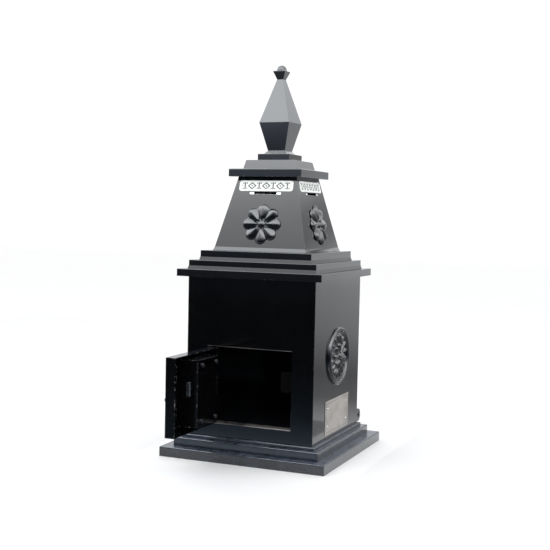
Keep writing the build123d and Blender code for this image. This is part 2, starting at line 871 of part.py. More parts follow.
# ------------------------------------------------------------- build it all
build_tray("plinth_slab", slab_width, 0, slab_top)
build_base_plate()
build_tray("plinth_middle_tier", middle_tier_width, slab_top, middle_tier_top)
build_tray("plinth_top_tier", top_tier_width, middle_tier_top, top_tier_top)

build_front_panel()
build_side_panels()
build_back_panel()
build_floor()
build_strike_plate()
build_notice_plate()
build_rear_lug()

tier_floor = cabinet_top
for tier, tier_top in cornice_tops.items():
    build_cornice_tier(f"cornice_{tier}", cornice_widths[tier], tier_floor, tier_top,
                       closed_below=tier == "lower", kicked=tier != "lower")
    tier_floor = tier_top

for side_name, side_angle in side_angles.items():
    build_roof_panel(side_name, side_angle)
    build_label_plate(side_name, side_angle)
    build_slot_trim(side_name, side_angle)
    build_rosette(side_name, side_angle)

build_medallion("right", 1)
build_medallion("left", -1)

build_cap()
build_finial()

build_hinges()
build_door_pan()
build_lock_case()
build_bolt_guides()
build_key_escutcheon()
build_lock_plug()
build_lock_bolt()
build_pull_knob()

print("bolt throw", round(bolt_throw, 2), "mm; roof tilt", round(roof_tilt, 2), "degrees")
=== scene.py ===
# %% [markdown]
# # A steel donation box, finished in Blender
# The engineering model of the box is already made: every sheet, hinge, bolt and screw has its
# real size and its real joint. This lesson gives it its looks. We keep each engineered piece
# where it is, give it a paint or metal finish built from shader nodes, and model by hand the
# cast ornaments and small fittings that need more shape than an engineering solid has.

# %% Load the engineered box
import bpy
from math import atan2, cos, degrees, pi, radians, sin, tan
from mathutils import Matrix, Vector


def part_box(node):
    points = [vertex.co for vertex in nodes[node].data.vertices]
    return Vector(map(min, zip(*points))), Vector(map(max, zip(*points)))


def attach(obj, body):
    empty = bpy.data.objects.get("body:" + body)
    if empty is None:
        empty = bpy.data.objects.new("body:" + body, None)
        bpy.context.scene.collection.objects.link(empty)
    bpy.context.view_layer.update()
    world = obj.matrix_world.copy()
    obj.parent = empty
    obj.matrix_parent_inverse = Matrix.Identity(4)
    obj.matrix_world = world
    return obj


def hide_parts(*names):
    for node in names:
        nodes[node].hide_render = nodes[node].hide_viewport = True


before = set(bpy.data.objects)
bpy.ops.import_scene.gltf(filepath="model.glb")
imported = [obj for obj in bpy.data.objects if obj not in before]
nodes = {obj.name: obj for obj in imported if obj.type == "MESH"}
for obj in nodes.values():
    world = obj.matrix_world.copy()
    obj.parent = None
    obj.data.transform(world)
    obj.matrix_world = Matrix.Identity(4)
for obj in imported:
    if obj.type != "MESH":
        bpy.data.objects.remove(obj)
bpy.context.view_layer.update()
mm = 0.001


def in_mm(lengths):
    """Lengths in millimetres, rounded for printing."""
    return [round(length / mm, 1) for length in lengths]


# %% [markdown]
# ## The camera
# A square object is best shown from a little to one side, so that two of its faces can be
# seen. We could drag a camera about by eye. It is clearer to say how far it stands, how
# high, how far round the box it has walked, and then how it is turned: first towards the box,
# then tipped down, then rolled by the small amount by which a hand-held camera is never level.

# %% Place the camera
walk_round = radians(22.642)
stand_back = 3.1172
eye_height = 0.712
look_aside = radians(0.138)
tip_down = radians(3.3)
roll = radians(1.196)

camera_data = bpy.data.cameras.new("studio_camera")
camera_data.lens = 67.05
camera_data.sensor_width = 36.0
camera = bpy.data.objects.new("studio_camera", camera_data)
bpy.context.scene.collection.objects.link(camera)
eye = Vector((stand_back * sin(walk_round), -stand_back * cos(walk_round), eye_height))
camera.matrix_world = (
    Matrix.Translation(eye)
    @ Matrix.Rotation(walk_round + look_aside, 4, "Z")
    @ Matrix.Rotation(pi / 2 - tip_down, 4, "X")
    @ Matrix.Rotation(roll, 4, "Z")
)
bpy.context.scene.camera = camera
print("camera stands at", in_mm(eye), "mm")

# %% [markdown]
# ## The studio lamps
# The box is lit as for a catalogue: an even pale room and two large soft panels, one high in
# front and one behind on the right. A large panel gives soft shadows, because every point on
# the floor sees only part of it covered. The panels are hidden from mirrors; what the glossy
# paint mirrors is built in its own step further on.

# %% The pale room and the soft panels
scene = bpy.context.scene
scene.view_settings.view_transform = "Standard"
world = bpy.data.worlds.new("pale_room")
scene.world = world
world.use_nodes = True
room = world.node_tree.nodes["Background"]
room.inputs["Color"].default_value = (1.0, 1.0, 1.0, 1.0)
room.inputs["Strength"].default_value = 1.08


def soft_panel(name, place, look_at, width, height, radiance):
    """A rectangular lamp of a given brightness, facing a point."""
    lamp = bpy.data.lights.new(name, "AREA")
    lamp.shape = "RECTANGLE"
    lamp.size = width
    lamp.size_y = height
    lamp.energy = radiance * pi * width * height
    holder = bpy.data.objects.new(name, lamp)
    holder.location = place
    holder.rotation_euler = (Vector(look_at) - Vector(place)).to_track_quat("-Z", "Y").to_euler()
    holder.visible_camera = False
    holder.visible_glossy = False
    scene.collection.objects.link(holder)
    print(name, "gives", round(lamp.energy, 1), "W")


soft_panel(
    "panel_front_high", place=(-0.85, -1.95, 2.55), look_at=(0, 0, 0.5),
    width=2.4, height=1.4, radiance=1.9,
)
soft_panel(
    "panel_back_right", place=(1.6, 2.6, 1.9), look_at=(0, 0, 0.4),
    width=2.2, height=1.5, radiance=0.8,
)

# %% [markdown]
# ## Writing shaders as sums
# A finish is a small network of nodes. Drawn with the mouse it soon becomes a tangle, so we let
# Python write it. `Sock` wraps one output of a node: adding or multiplying two of them makes the
# Math node for us. `Finish` owns one material and makes every other node through one method.

# %% The wrapped socket
class Sock:
    """One output of a shader node that understands + - * / with numbers and other outputs."""

    def __init__(self, finish, out):
        self.finish = finish
        self.out = out

    def sum_with(self, operation, first, second):
        return self.finish.add("ShaderNodeMath", {"operation": operation}, {0: first, 1: second})

    def __add__(self, other):
        return self.sum_with("ADD", self, other)

    __radd__ = __add__

    def __sub__(self, other):
        return self.sum_with("SUBTRACT", self, other)

    def __rsub__(self, other):
        return self.sum_with("SUBTRACT", other, self)

    def __mul__(self, other):
        return self.sum_with("MULTIPLY", self, other)

    __rmul__ = __mul__

    def __truediv__(self, other):
        return self.sum_with("DIVIDE", self, other)

    def __abs__(self):
        return self.sum_with("ABSOLUTE", self, 0.0)

    def least(self, other):
        return self.sum_with("MINIMUM", self, other)

    def most(self, other):
        return self.sum_with("MAXIMUM", self, other)

    def ramp(self, start, end, low=0.0, high=1.0):
        """Runs smoothly from low to high while this value goes from start to end."""
        return self.finish.add(
            "ShaderNodeMapRange",
            {"interpolation_type": "SMOOTHSTEP"},
            {"Value": self, "From Min": start, "From Max": end, "To Min": low, "To Max": high},
        )


# %% The finish that owns a material
class Finish:
    """One procedural material and the nodes in it."""

    def __init__(self, name):
        self.material = bpy.data.materials.new(name)
        self.material.use_nodes = True
        self.tree = self.material.node_tree
        self.tree.nodes.clear()

    def add(self, kind, settings=None, sockets=None, out=0):
        """Makes a node: its settings first, then the values or links of its sockets."""
        node = self.tree.nodes.new(kind)
        for key, value in (settings or {}).items():
            setattr(node, key, value)
        for key, value in (sockets or {}).items():
            if isinstance(value, Sock):
                self.tree.links.new(value.out, node.inputs[key])
            else:
                node.inputs[key].default_value = value
        return Sock(self, node.outputs[out]) if node.outputs else None

    def own_place(self):
        """Where a point lies in the piece's own coordinates."""
        return self.add("ShaderNodeTexCoord", out="Object")

    def axes(self, vector):
        """The x, y and z of a vector."""
        split = self.add("ShaderNodeSeparateXYZ", {}, {0: vector}).out.node
        return [Sock(self, output) for output in split.outputs]

    def noise(self, where, scale, detail=3.0, roughness=0.5):
        """Cloudy noise; a larger scale makes finer clouds."""
        return self.add(
            "ShaderNodeTexNoise", {},
            {"Vector": where, "Scale": scale, "Detail": detail, "Roughness": roughness},
        )

    def blend(self, amount, first, second):
        """Mixes two colours; on this node sockets 0, 6 and 7 and output 2 are the colour ones."""
        return self.add(
            "ShaderNodeMix", {"data_type": "RGBA"}, {0: amount, 6: first, 7: second}, out=2
        )

    def bump(self, height, depth, below=None):
        """Turns a height into a surface normal; depth is in metres."""
        sockets = {"Height": height, "Distance": depth, "Strength": 1.0}
        if below is not None:
            sockets["Normal"] = below
        return self.add("ShaderNodeBump", {}, sockets)

    def close(self, **sockets):
        """Joins the principled shader to the material's output."""
        named = {key.replace("_", " "): value for key, value in sockets.items()}
        shader = self.add("ShaderNodeBsdfPrincipled", {}, named)
        self.add("ShaderNodeOutputMaterial", {}, {"Surface": shader})
        return self.material


print("shader helpers ready")

# %% [markdown]
# ## Gloss black paint on folded sheet
# Sprayed enamel is never a perfect mirror. Close up it has a fine ripple, called orange peel.
# The thin sheet under it is slightly wavy, so straight reflections bend. Dust settles on every
# face that looks up, and corners lose paint where they are knocked. All four are made from
# noise in the piece's own coordinates. The worn corners are found with plain geometry: we know
# the size of the piece, so a point that is near two of its outer faces at once is on an edge.


# %% Where the steel shows through, and the painted pale lines
def rgba(colour, times=1.0):
    """A colour with its opacity, made lighter or darker."""
    return (*(times * part for part in colour), 1)


def bare_edges_and_pale_lines(axes, low, high, wear, pale_lines, chips, broad):
    """How bare a point is on a knocked edge, together with broken pale lines painted along given
    levels.
    """
    x, z = axes[0], axes[2]
    edge_reach, edge_core = 3.2 * mm, 0.6 * mm
    near_x, near_y, near_z = (
        (half - abs(axis - middle)).ramp(edge_reach, edge_core)
        for axis, middle, half in zip(axes, (low + high) / 2, (high - low) / 2)
    )
    edge = (near_x + near_y + near_z - 1.0).ramp(0.1, 0.9)
    chipped = chips.ramp(0.60 - 0.10 * wear, 0.72 - 0.10 * wear)
    wear_and_pale_lines = edge * chipped * min(1.0, 1.2 * wear)
    # Pale lines are painted along the given levels, in the same grey as the bare edges.
    for level, left, right, strength in pale_lines:
        ragged = chips * 2.2 * mm
        on_line = (abs(z - level) + ragged).ramp(3.4 * mm, 1.6 * mm)
        within = (x - left).ramp(-1 * mm, 1 * mm) * (right - x).ramp(-1 * mm, 1 * mm)
        patchy = 0.35 + broad.ramp(0.40, 0.58) * 0.65
        wear_and_pale_lines = (wear_and_pale_lines + on_line * within * patchy * strength).least(1.0)
    return wear_and_pale_lines


print("wear is found from the size of each piece")

# %% The paint
deep_black, faded_black = (0.0022, 0.0024, 0.0030), (0.0062, 0.0066, 0.0076)
# edge_and_line_grey is bare steel on knocked edges and also the colour of the painted pale lines.
settled_dust, edge_and_line_grey = (0.27, 0.34, 0.50), (0.20, 0.19, 0.18)


def black_paint(
    name, low, high, dust=0.5, wear=0.5, wave=1.0, painted_light_and_shade=1.0, settle=0.0, matt=0.0, pale_lines=()
):
    """Black enamel for a piece whose box runs from low to high.

    Each pale line is a level line (level, left, right, strength) along which the paint is painted
    pale, broken and patchy.
    """
    f = Finish(name)
    place = f.own_place()
    axes = f.axes(place)
    z = axes[2]
    up = f.axes(f.add("ShaderNodeTexCoord", out="Normal"))[2]

    broad = f.noise(place, 7.0, 2.0)
    cloud = f.noise(place, 28.0, 5.0, 0.6)
    grit = f.noise(place, 420.0, 4.0, 0.65)
    chips = f.noise(place, 150.0, 6.0, 0.7)
    wear_and_pale_lines = bare_edges_and_pale_lines(axes, low, high, wear, pale_lines, chips, broad)

    dust_rise = 0.09
    lying = up.ramp(0.35, 0.95)
    low_down = 1.0 - z.ramp(low.z, low.z + dust_rise)
    patches = (0.4 + cloud.ramp(0.30, 0.72) * 0.6) * (0.5 + grit.ramp(0.25, 0.70) * 0.5)
    film = (lying * 0.85 + low_down * settle) * patches * dust

    # The black is scaled per piece by painted_light_and_shade: lit and shaded copies of one
    # paint.
    black = f.blend(broad, rgba(deep_black, painted_light_and_shade), rgba(faded_black, painted_light_and_shade))
    dusty = f.blend(film * 0.10, black, rgba(settled_dust))
    colour = f.blend(wear_and_pale_lines, dusty, rgba(edge_and_line_grey))
    rough = 0.07 + matt + cloud.ramp(0.35, 0.75) * 0.07 + film * 0.12 + wear_and_pale_lines * 0.35

    sheet_wave = f.bump(broad, 0.00075 * wave)
    peel = f.bump(f.noise(place, 260.0, 2.0), 0.000030, sheet_wave)
    skin = f.bump(grit * film + wear_and_pale_lines * -1.0, 0.00006, peel)
    return f.close(
        Base_Color=colour, Roughness=rough, Normal=skin,
        IOR=1.52 - 0.47 * matt, Coat_Weight=0.35 * (1.0 - matt), Coat_Roughness=0.05,
    )


print("black paint ready")


# %% Paint the steel
def coat_with(piece, material):
    """Takes the old materials off an object and gives it one new material."""
    piece.data.materials.clear()
    piece.data.materials.append(material)


plinth = ["plinth_slab", "plinth_middle_tier", "plinth_top_tier"]
other_walls = ["left_panel", "right_panel", "back_panel"]
cornice = ["cornice_lower", "cornice_middle", "cornice_upper"]
roof = ["roof_panel_front", "roof_panel_right", "roof_panel_back", "roof_panel_left"]
cap = ["cap_slab", "cap_slope", "cap_block"]
finial = ["finial_lower", "finial_upper", "finial_collar", "finial_ball"]
door = ["door_pan", "lock_case", "hinge_frame_leaves", "hinge_door_leaves", "pull_knob"]
out_of_sight = ["cabinet_floor", "base_plate", "floor_cleats", "rear_anchor_lug"]

pins_low, pins_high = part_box("hinge_pins")
opening_left = (pins_low.x + pins_high.x) / 2 - 1 * mm
opening_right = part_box("strike_plate")[1].x - 2 * mm
opening_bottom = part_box("cabinet_floor")[1].z
opening_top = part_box("door_pan")[1].z + 2 * mm
# Broken pale lines are painted along the top and bottom edges of the opening.
pale_opening_lines = (
    (opening_top + 1 * mm, opening_left, opening_right, 0.5),
    (opening_bottom - 1 * mm, opening_left, opening_right, 0.8),
)
# painted_light_and_shade makes lit and shaded copies of one paint. Below 1 it is painted shade,
# as on the front panel, door, strike plate and walls; above 1 it is painted light, as on the
# finial.
coats = (
    (plinth, {"dust": 3.2, "wear": 0.35, "settle": 0.30}),
    (["front_panel"], {"dust": 0.4, "wave": 1.2, "painted_light_and_shade": 0.4, "pale_lines": pale_opening_lines}),
    (other_walls, {"dust": 0.4, "wave": 1.2, "painted_light_and_shade": 0.7}),
    (cornice, {"dust": 0.7, "wear": 0.35}),
    (roof, {}),
    (cap, {"dust": 0.6, "wear": 0.6, "wave": 0.6}),
    (finial, {"dust": 0.6, "wear": 0.6, "wave": 0.6, "painted_light_and_shade": 3.5}),
    (door, {"dust": 0.3, "wear": 0.7, "wave": 0.8, "painted_light_and_shade": 0.5}),
    (out_of_sight, {"dust": 0.4, "painted_light_and_shade": 0.8}),
    (["strike_plate"], {"dust": 0.0, "wear": 0.1, "painted_light_and_shade": 0.3, "matt": 0.85}),
)
for names, looks in coats:
    for name in names:
        coat_with(nodes[name], black_paint("paint_" + name, *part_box(name), **looks))
print("painted", sum(len(names) for names, looks in coats), "pieces")
print("the opening runs", in_mm((opening_left, opening_right, opening_bottom, opening_top)), "mm")

# %% [markdown]
# ## Softened edges
# A folded or cut edge is never razor sharp, and the thin bright line that runs along it is what
# makes sheet steel look real. The engineered meshes are loose triangles, so three modifiers
# work in turn: Weld joins the triangles, Decimate in planar mode clears the flat faces, and
# Bevel rounds what is left. The meshes themselves stay as they were.


# %% Bevel the folded pieces
def soften(name, width):
    """Rounds the sharp edges of an engineered piece without touching its mesh."""
    node = nodes[name]
    weld = node.modifiers.new("join", "WELD")
    weld.merge_threshold = 0.00001
    flat = node.modifiers.new("clear_flats", "DECIMATE")
    flat.decimate_type = "DISSOLVE"
    flat.angle_limit = radians(0.6)
    rounding = node.modifiers.new("round", "BEVEL")
    rounding.width = width
    rounding.segments = 2
    rounding.limit_method = "ANGLE"
    rounding.angle_limit = radians(32)


thick_edged = finial[:3] + ["cap_slope"]
for name in thick_edged:
    soften(name, 0.9 * mm)
for name in roof:
    soften(name, 0.5 * mm)
print("softened edges on", len(thick_edged + roof), "pieces")

# %% [markdown]
# ## Bare metal
# The bolt, the screws and the rivets are zinc-plated steel: pale, a little cloudy, with fine
# scratches that run one way. The strips around the money slots are brighter and brushed along
# their length. Both are a metallic shader whose roughness and normal come from stretched noise.


# %% Plated and brushed metal
def plated(name, colour, rough, along=(1, 1, 1), scratch=0.5, tarnish=0.4, painted_shade_above=None):
    """A metal finish with cloudy plating and fine scratches stretched along one axis.

    Above a level it may be painted darker: a painted shadow, as under an overhanging edge.
    """
    f = Finish(name)
    place = f.own_place()
    stretched = f.add("ShaderNodeMapping", {}, {"Vector": place, "Scale": along})
    lines = f.noise(stretched, 900.0, 3.0, 0.6)
    cloud = f.noise(place, 60.0, 5.0, 0.65)
    spots = f.noise(place, 340.0, 2.0)
    dull = cloud.ramp(0.45, 0.75) * tarnish
    spotted = dull + spots.ramp(0.62, 0.72) * 0.3 * tarnish
    tint = f.blend(spotted, rgba(colour), rgba(colour, 0.45))
    if painted_shade_above is not None:
        # Painted shadow: above the level the colour is darkened as if shaded by the edge above.
        painted_shade = f.axes(place)[2].ramp(painted_shade_above - 0.6 * mm, painted_shade_above + 0.6 * mm)
        tint = f.blend(painted_shade * 0.9, tint, rgba((0.03, 0.03, 0.035)))
    roughness = rough + dull * 0.25 + lines * 0.10
    return f.close(
        Base_Color=tint, Roughness=roughness, Metallic=1.0,
        Normal=f.bump(lines, 0.00002 * scratch),
    )


zinc = plated("zinc_steel", (0.56, 0.57, 0.58), rough=0.28, along=(0.1, 1, 1))
# The slot strips get a painted shadow along their upper part, where the label above them would
# shade them.
bright = plated(
    "bright_strip", (0.66, 0.68, 0.69), rough=0.30, along=(0.06, 1, 1), scratch=0.4,
    tarnish=0.35, painted_shade_above=sum(corner.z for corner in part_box("slot_trim_front")) / 2 + 1 * mm,
)
bolt_steel = plated(
    "bolt_steel", (0.72, 0.73, 0.74), rough=0.22, along=(1, 0.05, 1), scratch=0.7, tarnish=0.3
)
blackened = plated("blackened_steel", (0.10, 0.10, 0.115), rough=0.34, tarnish=0.5)
metals = (
    (["slot_trim_front", "slot_trim_right", "slot_trim_back", "slot_trim_left"], bright),
    (["key_escutcheon", "lock_plug", "bolt_guides", "hinge_pins", "hinge_frame_rivets",
      "hinge_door_rivets", "notice_rivets", "finial_stud", "finial_nut"], zinc),
    (["lock_case_screws"], blackened),
    (["lock_bolt"], bolt_steel),
)
for names, metal in metals:
    for name in names:
        coat_with(nodes[name], metal)
print("plated the fittings")

# %% [markdown]
# ## Tools for modelling by hand
# The next pieces are made as you would make them with the mouse: add a primitive, go into edit
# mode, select some faces, then inset, move, extrude or bevel them. These small helpers do the
# clicking. `choose` selects faces by where they are and which way they look.


# %% Modelling helpers
def only(piece):
    """Selects one object and makes it the active one."""
    bpy.ops.object.select_all(action="DESELECT")
    piece.select_set(True)
    bpy.context.view_layer.objects.active = piece


def choose(piece, test):
    """In edit mode, selects only the faces whose centre and normal pass the test."""
    bpy.ops.mesh.select_mode(type="FACE")
    bpy.ops.mesh.select_all(action="DESELECT")
    bpy.ops.object.mode_set(mode="OBJECT")
    for face in piece.data.polygons:
        face.select = bool(test(face.center, face.normal))
    bpy.ops.object.mode_set(mode="EDIT")


def choose_points(piece, test):
    """In edit mode, selects only the points whose place passes the test."""
    bpy.ops.mesh.select_mode(type="VERT")
    bpy.ops.mesh.select_all(action="DESELECT")
    bpy.ops.object.mode_set(mode="OBJECT")
    for point in piece.data.vertices:
        point.select = bool(test(point.co))
    bpy.ops.object.mode_set(mode="EDIT")


def finish_mesh(piece, levels=0, smooth=40):
    """Applies a subdivision and smooth shading up to an angle."""
    bpy.ops.object.mode_set(mode="OBJECT")
    only(piece)
    if levels:
        rounder = piece.modifiers.new("rounder", "SUBSURF")
        rounder.levels = levels
        rounder.render_levels = levels
        bpy.ops.object.modifier_apply(modifier="rounder")
    bpy.ops.object.shade_smooth_by_angle(angle=radians(smooth))
    return piece


def settle_in(piece, matrix):
    """Puts a piece in its place and writes that place into its mesh."""
    piece.data.transform(matrix)
    piece.matrix_world = Matrix.Identity(4)
    return piece


def copy_of(piece, name):
    """A copy with a mesh of its own."""
    twin = piece.copy()
    twin.data = piece.data.copy()
    twin.name = name
    twin.data.name = name
    scene.collection.objects.link(twin)
    return twin


def merge(name, pieces):
    """Joins several objects into one."""
    bpy.ops.object.select_all(action="DESELECT")
    for piece in pieces:
        piece.select_set(True)
    bpy.context.view_layer.objects.active = pieces[0]
    bpy.ops.object.join()
    pieces[0].name = name
    pieces[0].data.name = name
    return pieces[0]


print("modelling helpers ready")

# %% [markdown]
# ## One plump petal
# The cast flowers have eight swollen petals with a soft ridge. One side of it mirrors the bright
# ceiling and the other mirrors the dark front, so a flower reads as bright and dark
# patches. We could sculpt it. A quicker way is a round cylinder pulled out into a drop, whose
# top is extruded and shrunk in steps, and a subdivision surface that melts the steps.


# %% Model the petal
def plump_petal(length, width, height):
    """A petal lying along +X: narrow inner end at the origin, round outer end, ridged top."""
    bpy.ops.object.select_all(action="DESELECT")
    bpy.ops.mesh.primitive_cylinder_add(vertices=16, radius=0.5, depth=1.0, location=(0, 0, 0.5))
    petal = bpy.context.object
    settle_in(petal, Matrix.Diagonal((width, width, 0.20 * height, 1)) @ petal.matrix_world)
    bpy.ops.object.mode_set(mode="EDIT")
    tail = (length - width / 2) / (width / 2)
    choose_points(petal, lambda place: place.x < -0.01 * width)
    bpy.ops.transform.resize(value=(tail, 1, 1), center_override=(0, 0, 0))
    for start, squeeze in ((-0.10, 0.90), (-0.30, 0.84), (-0.44, 0.80)):
        choose_points(petal, lambda place: place.x < start * length)
        bpy.ops.transform.resize(value=(1, squeeze, 1), center_override=(0, 0, 0))
    choose(petal, lambda middle, normal: normal.z > 0.9)
    middle_x = -0.08 * length
    for rise, along, across in ((0.30, 0.92, 0.74), (0.30, 0.84, 0.58), (0.24, 0.72, 0.34)):
        bpy.ops.mesh.extrude_region_move(TRANSFORM_OT_translate={"value": (0, 0, rise * height)})
        bpy.ops.transform.resize(value=(along, across, 1), center_override=(middle_x, 0, 0))
    finish_mesh(petal, levels=2, smooth=80)
    return settle_in(petal, Matrix.Translation((length - width / 2, 0, 0)))


def ring_of(piece, name, count, radius, start=0.0):
    """Copies of a piece set around a circle, each turned to face outwards."""
    ring = []
    for index in range(count):
        turn = Matrix.Rotation(start + 2 * pi * index / count, 4, "Z")
        place = turn @ Matrix.Translation((radius, 0, 0))
        ring.append(settle_in(copy_of(piece, f"{name}_{index}"), place))
    return ring


def dome(radius, height, lift=0.0):
    """A low round boss: the upper half of a ball, squeezed flat and lifted."""
    bpy.ops.object.select_all(action="DESELECT")
    bpy.ops.mesh.primitive_uv_sphere_add(segments=28, ring_count=14, radius=radius)
    boss = bpy.context.object
    bpy.ops.object.mode_set(mode="EDIT")
    bpy.ops.mesh.select_all(action="SELECT")
    bpy.ops.mesh.bisect(plane_co=(0, 0, 0), plane_no=(0, 0, 1), use_fill=True, clear_inner=True)
    finish_mesh(boss, smooth=50)
    squeeze = Matrix.Diagonal((1, 1, height / radius, 1))
    return settle_in(boss, Matrix.Translation((0, 0, lift)) @ squeeze)


petal_master = plump_petal(length=50 * mm, width=38 * mm, height=10.5 * mm)
print("petal has", len(petal_master.data.polygons), "faces")

# %% [markdown]
# ## Cast paint
# The ornaments are castings. Sand moulding leaves a softer, slightly lumpy skin under the
# paint, and dust stays in their hollows. The paint is the same black, so we build it with the
# same nodes but a coarser bump and no edge wear.


# %% The cast finish
def cast_black(name):
    """Black paint on a casting."""
    f = Finish(name)
    place = f.own_place()
    lumps = f.noise(place, 130.0, 3.0)
    grain = f.noise(place, 900.0, 3.0, 0.6)
    cloud = f.noise(place, 45.0, 4.0)
    deep, faded = (0.0040, 0.0046, 0.0060), (0.012, 0.013, 0.015)
    colour = f.blend(cloud.ramp(0.4, 0.8) * 0.5, rgba(deep), rgba(faded))
    rough = 0.10 + cloud * 0.06 + grain * 0.03
    skin = f.bump(grain, 0.00002, f.bump(lumps, 0.00012))
    return f.close(
        Base_Color=colour, Roughness=rough, Normal=skin,
        IOR=1.52, Coat_Weight=0.4, Coat_Roughness=0.06,
    )


casting = cast_black("cast_black")
print("casting finish ready")

# %% [markdown]
# ## Rosettes on the roof
# A rosette is eight petals around a domed centre on a thin backing. We model it once, lying
# flat, and stand a copy on each slope. The slope's lean is worked out from the engineered roof
# panel, so the flowers sit on the steel and not near it.

# %% Assemble one rosette
def flower(name, petal, ring_start, hub_radius, hub_height, backing):
    """Petals, centre boss and backing disc as one mesh."""
    backing_thickness = 3 * mm
    petals = ring_of(petal, name + "_petal", 8, ring_start)
    hub = dome(hub_radius, hub_height)
    seed = dome(0.50 * hub_radius, 0.40 * hub_height, lift=0.78 * hub_height)
    bpy.ops.object.select_all(action="DESELECT")
    bpy.ops.mesh.primitive_cylinder_add(
        vertices=48, radius=backing, depth=backing_thickness,
        location=(0, 0, backing_thickness / 2),
    )
    plate = bpy.context.object
    settle_in(plate, plate.matrix_world)
    bpy.ops.object.mode_set(mode="EDIT")
    choose(plate, lambda middle, normal: normal.z > 0.9)
    bpy.ops.mesh.bevel(offset=1.2 * mm, segments=3, affect="EDGES")
    finish_mesh(plate, smooth=40)
    return merge(name, [plate, hub, seed] + petals)


rosette_master = flower(
    "rosette_master", petal_master, ring_start=10.8 * mm,
    hub_radius=13 * mm, hub_height=9 * mm, backing=50 * mm,
)
coat_with(rosette_master, casting)
print("rosette measures", in_mm(rosette_master.dimensions), "mm")

# %% Stand the rosettes on the four slopes
sides = {"front": 0, "right": 90, "back": 180, "left": 270}
panel_low, panel_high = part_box("roof_panel_front")
sheet = 2 * mm
level_sheet = 1.03 * sheet  # a leaning sheet measures a little more when cut level
foot_kick = 1.6 * mm  # how far the foot of a roof panel leans out beyond its slope
run = panel_high.y - panel_low.y - foot_kick - level_sheet
lean = atan2(run, panel_high.z - panel_low.z)


def on_slope(side, level):
    """Where a flat piece goes to lie on one roof slope at a level."""
    reach = -panel_low.y - foot_kick - (level - panel_low.z) * tan(lean)
    return (
        Matrix.Rotation(radians(sides[side]), 4, "Z")
        @ Matrix.Translation((0, -reach, level))
        @ Matrix.Rotation(pi / 2 - lean, 4, "X")
    )


def middle_level(name):
    """The level halfway up an engineered piece."""
    low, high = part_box(name)
    return (low.z + high.z) / 2


half_relief = 5.5 * mm
for side in sides:
    node = "rosette_" + side
    level = middle_level(node) - half_relief * sin(lean)
    rosette = settle_in(copy_of(rosette_master, "cast_rosette_" + side), on_slope(side, level))
    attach(rosette, "cabinet")
    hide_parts(node)
bpy.data.objects.remove(rosette_master)
print("roof leans", round(degrees(lean), 2), "degrees")

# %% [markdown]
# ## Medallions on the side walls
# Each side wall carries a round plaque: a raised rim with a row of beads, a thin inner rim, and
# two rings of petals around a boss. A rim is a torus cut in half and squeezed flat. The beads are
# one small ball copied forty-eight times, so the ball has only eighty faces.

# %% Model one medallion
small_petal = plump_petal(length=31 * mm, width=22 * mm, height=10.5 * mm)


def rim(major, minor, height):
    """A flattened ring standing on the wall."""
    bpy.ops.object.select_all(action="DESELECT")
    bpy.ops.mesh.primitive_torus_add(
        major_radius=major, minor_radius=minor, major_segments=72, minor_segments=14
    )
    ring = bpy.context.object
    bpy.ops.object.mode_set(mode="EDIT")
    bpy.ops.mesh.select_all(action="SELECT")
    bpy.ops.mesh.bisect(plane_co=(0, 0, 0), plane_no=(0, 0, 1), use_fill=False, clear_inner=True)
    finish_mesh(ring, smooth=60)
    return settle_in(ring, Matrix.Diagonal((1, 1, height / minor, 1)))


def medallion_shape():
    """The whole plaque as one mesh, lying flat."""
    blossom = flower(
        "medallion_flower", small_petal, ring_start=9 * mm,
        hub_radius=11.5 * mm, hub_height=11 * mm, backing=76 * mm,
    )
    leaf = plump_petal(length=31 * mm, width=20.5 * mm, height=7.5 * mm)
    leaves = ring_of(leaf, "leaf", 16, 37 * mm, start=pi / 16)
    rim_radius = 80.5 * mm
    outer = rim(major=rim_radius, minor=7 * mm, height=9.5 * mm)
    inner = rim(major=71 * mm, minor=2.4 * mm, height=6 * mm)
    bpy.ops.object.select_all(action="DESELECT")
    bpy.ops.mesh.primitive_ico_sphere_add(subdivisions=2, radius=1.9 * mm)
    ball = bpy.context.object
    finish_mesh(ball, smooth=80)
    settle_in(ball, Matrix.Translation((0, 0, 9.0 * mm)))
    beads = ring_of(ball, "bead", 48, rim_radius)
    for spare in (ball, leaf):
        bpy.data.objects.remove(spare)
    return merge("medallion_master", [blossom, outer, inner] + beads + leaves)


medallion_master = medallion_shape()
coat_with(medallion_master, casting)
print("medallion measures", in_mm(medallion_master.dimensions), "mm")

# %% Fix the medallions to the walls
for side in ("right", "left"):
    node = "medallion_" + side
    low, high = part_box(node)
    wall_x = low.x if side == "right" else high.x
    stand = (
        Matrix.Translation((wall_x, (low.y + high.y) / 2, (low.z + high.z) / 2))
        @ Matrix.Rotation(radians(sides[side]), 4, "Z")
        @ Matrix.Rotation(pi / 2, 4, "X")
    )
    medallion = settle_in(copy_of(medallion_master, "cast_medallion_" + side), stand)
    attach(medallion, "cabinet")
    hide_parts(node)
for spare in (medallion_master, small_petal, petal_master):
    bpy.data.objects.remove(spare)
print("medallions in place")

# %% [markdown]
# ## Label plates
# Under the cap each slope has a pale plate with rounded ends. Real boxes carry words here; ours
# carries an ornament that belongs to nobody: a chain of dark lozenges, bars and dots. The plate
# is a thin block with bevelled corners and a sunk field. Its flat coordinates are stored on the
# mesh before it is leaned against the roof, so one pattern fits all four.

